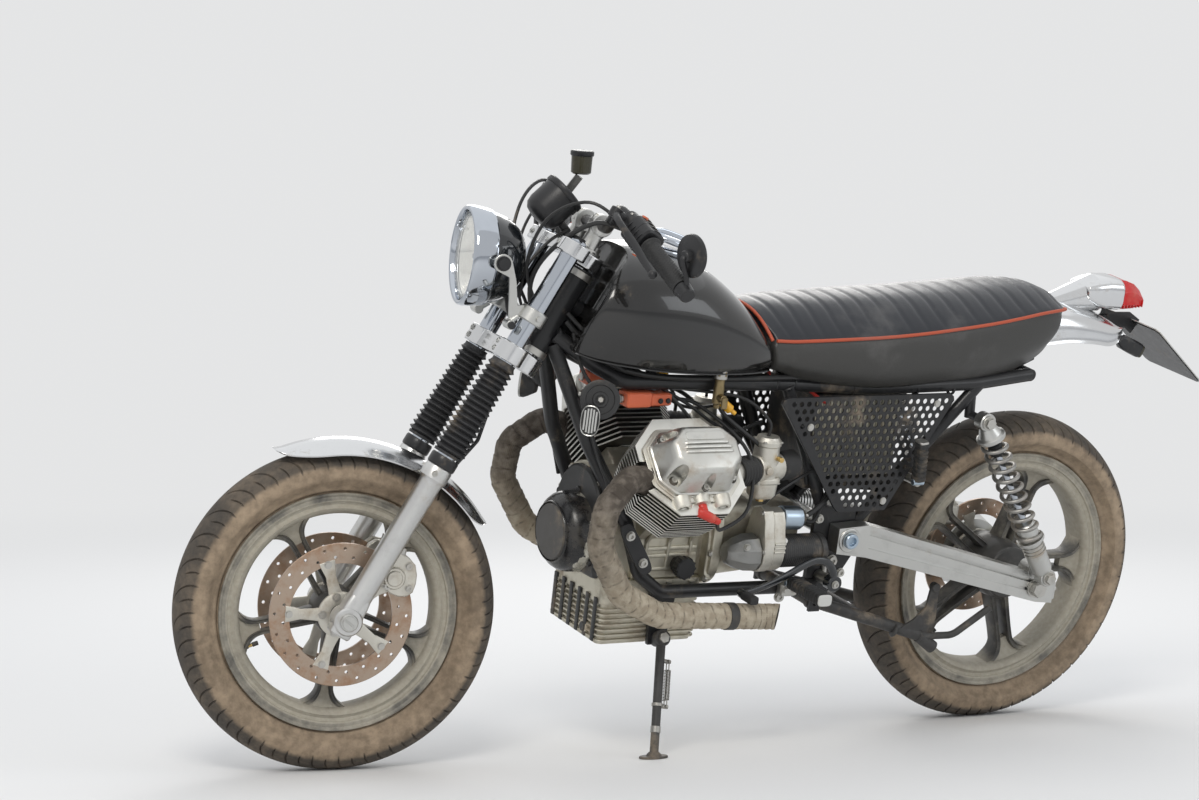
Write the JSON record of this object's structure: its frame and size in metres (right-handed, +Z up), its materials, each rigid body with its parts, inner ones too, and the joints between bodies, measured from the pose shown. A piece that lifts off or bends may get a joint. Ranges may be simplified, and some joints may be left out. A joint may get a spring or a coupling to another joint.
{
  "type": "cafe racer motorcycle",
  "caption": "Unfaired cafe racer motorcycle with a transverse V-twin, shaft drive and a pleated seat, parked on its side stand.",
  "frame": {"origin": "On the ground under the middle of the motorcycle's box, as it stands on its side stand.", "axes": "+X to the front along the rear wheel's track, +Y to its left, +Z up from the ground."},
  "size_m": [2.1227, 0.8548, 1.1218],
  "materials": {
    "alloy": "bead-blasted cast alloy",
    "black_paint": "satin black",
    "black_plastic": "moulded black",
    "brass": "bare brass",
    "chrome": "chrome plate",
    "disc_steel": "worn brake disc",
    "glass": "clear ribbed glass",
    "leather": "pleated black leather with a red piping",
    "mirror_black": "black shell",
    "orange_plastic": "moulded orange",
    "plate_white": "blank plate",
    "polished_alloy": "polished alloy",
    "raw_steel": "bare steel",
    "red_lens": "red lens",
    "rubber": "matt rubber",
    "tank_paint": "gloss black",
    "tyre": "dusty tread",
    "wheel_paint": "dusty grey",
    "wrap": "heat wrap tape"
  },
  "bodies": {
    "root": {"main_frame": "black_paint", "rear_subframe": "black_paint", "engine_cradle": "black_paint", "swingarm": "alloy", "rear_axle": "raw_steel", "shock_absorbers": "chrome", "crankcase": "alloy", "oil_sump": "alloy", "alternator_cover": "black_plastic", "cylinders": "alloy", "rocker_covers": "alloy", "gearbox": "alloy", "starter_motor": "alloy", "carburettors": "alloy", "exhaust_pipes": "wrap", "fuel_tank": "tank_paint", "seat": "leather", "tail_fender": "polished_alloy", "tail_lamp": "red_lens", "licence_plate": "plate_white", "side_panels": "black_paint", "battery_box": "black_plastic", "horn": "black_plastic", "ignition_coils": "orange_plastic", "fuel_taps": "brass", "footpegs": "rubber", "foot_controls": "raw_steel", "rear_caliper": "alloy"},
    "front_wheel": {"front_rim": "wheel_paint", "front_tyre": "tyre", "front_discs": "disc_steel"},
    "rear_wheel": {"rear_rim": "wheel_paint", "rear_tyre": "tyre", "rear_disc": "disc_steel"},
    "steering": {"fork_legs": "alloy", "fork_gaiters": "rubber", "fork_yokes": "polished_alloy", "front_axle": "raw_steel", "front_fender": "polished_alloy", "headlight": "black_paint", "headlight_lens": "glass", "instrument": "black_plastic", "handlebar": "chrome", "grips": "rubber", "hand_controls": "black_plastic", "mirrors": "mirror_black", "front_calipers": "alloy", "brake_hose": "rubber"},
    "fuel_cap": {"fuel_cap": "chrome"},
    "side_stand": {"side_stand": "black_paint"},
    "centre_stand": {"centre_stand": "black_paint"}
  },
  "joints": [
    {"name": "steering_turn", "type": "hinge", "parent": "root", "child": "steering", "pos_m": [0.4673, -0.07595, 0.71846], "axis": [-0.4786, 0.2171, 0.8508], "range_deg": [-9, 41]},
    {"name": "front_wheel_spin", "type": "hinge", "parent": "steering", "child": "front_wheel", "pos_m": [0.77542, -0.20196, 0.29158], "axis": [0.2424, 0.964, -0.1096], "continuous": true},
    {"name": "rear_wheel_spin", "type": "hinge", "parent": "root", "child": "rear_wheel", "pos_m": [-0.67256, -0.17997, 0.30839], "axis": [0.0004, 0.969, -0.247], "continuous": true},
    {"name": "side_stand_swing", "type": "hinge", "parent": "root", "child": "side_stand", "pos_m": [0.16359, -0.07806, 0.21573], "axis": [0.0524, 0.98, 0.1921], "range_deg": [0, 92]},
    {"name": "centre_stand_swing", "type": "hinge", "parent": "root", "child": "centre_stand", "pos_m": [-0.18653, -0.1859, 0.28597], "axis": [-0.0004, -0.969, 0.247], "range_deg": [0, 92]},
    {"name": "fuel_cap_hinge", "type": "hinge", "parent": "root", "child": "fuel_cap", "pos_m": [0.22733, -0.01523, 0.95626], "axis": [0.0004, 0.969, -0.247], "range_deg": [0, 85]}
  ]
}
